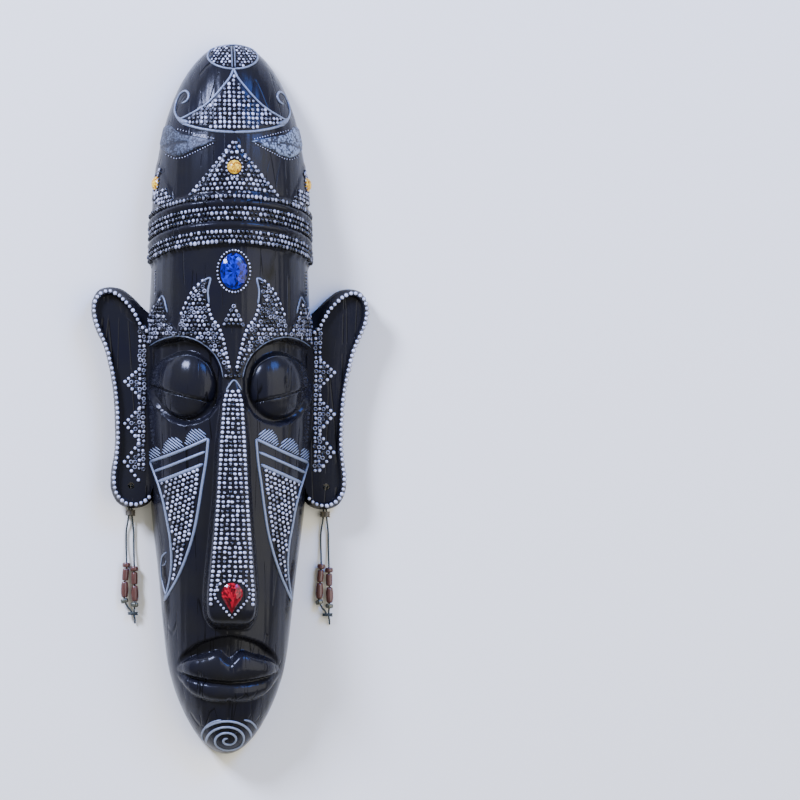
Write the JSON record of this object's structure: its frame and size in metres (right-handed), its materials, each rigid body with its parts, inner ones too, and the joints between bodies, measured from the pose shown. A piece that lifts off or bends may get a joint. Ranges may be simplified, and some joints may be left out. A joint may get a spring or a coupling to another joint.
{
  "type": "tribal face mask",
  "caption": "Tall carved black face mask with banded crown, closed eyes, long beaded nose, ears, set stones and two bead tassels, lying on its back rim.",
  "frame": {"origin": "middle of the back plane, which the mask lies on", "axes": "+Z out of the face, +Y from chin to crown, +X to the right as the face is looked at"},
  "size_m": [0.1522, 0.3911, 0.0572],
  "materials": {
    "casting": "black stained and lacquered, semi-gloss, silver dry-brushed on the raised beads",
    "blue_stone": "faceted, foil-backed",
    "amber_stone": "faceted, foil-backed",
    "red_stone": "faceted, foil-backed",
    "brown_bead": "glossy red-brown",
    "metal_bead": "dark olive tarnish",
    "cord": "waxed twisted thread",
    "knot_thread": "dull gold thread"
  },
  "bodies": {
    "root": {"mask": "casting", "forehead_stone": "blue_stone", "crown_stone_centre": "amber_stone", "crown_stone_right": "amber_stone", "crown_stone_left": "amber_stone", "nose_stone": "red_stone", "tassel_right_cord_a": "cord", "tassel_right_collar_bead_a": "brown_bead", "tassel_right_barrel_bead_a": "brown_bead", "tassel_right_long_bead_a": "brown_bead", "tassel_right_metal_bead_a": "metal_bead", "tassel_right_cord_b": "cord", "tassel_right_collar_bead_b": "brown_bead", "tassel_right_barrel_bead_b": "brown_bead", "tassel_right_long_bead_b": "brown_bead", "tassel_right_metal_bead_b": "metal_bead", "tassel_right_upper_knot": "knot_thread", "tassel_right_end_knot": "cord", "tassel_left_cord_a": "cord", "tassel_left_collar_bead_a": "brown_bead", "tassel_left_barrel_bead_a": "brown_bead", "tassel_left_long_bead_a": "brown_bead", "tassel_left_metal_bead_a": "metal_bead", "tassel_left_cord_b": "cord", "tassel_left_collar_bead_b": "brown_bead", "tassel_left_barrel_bead_b": "brown_bead", "tassel_left_long_bead_b": "brown_bead", "tassel_left_metal_bead_b": "metal_bead", "tassel_left_upper_knot": "knot_thread", "tassel_left_end_knot": "cord"}
  },
  "joints": []
}
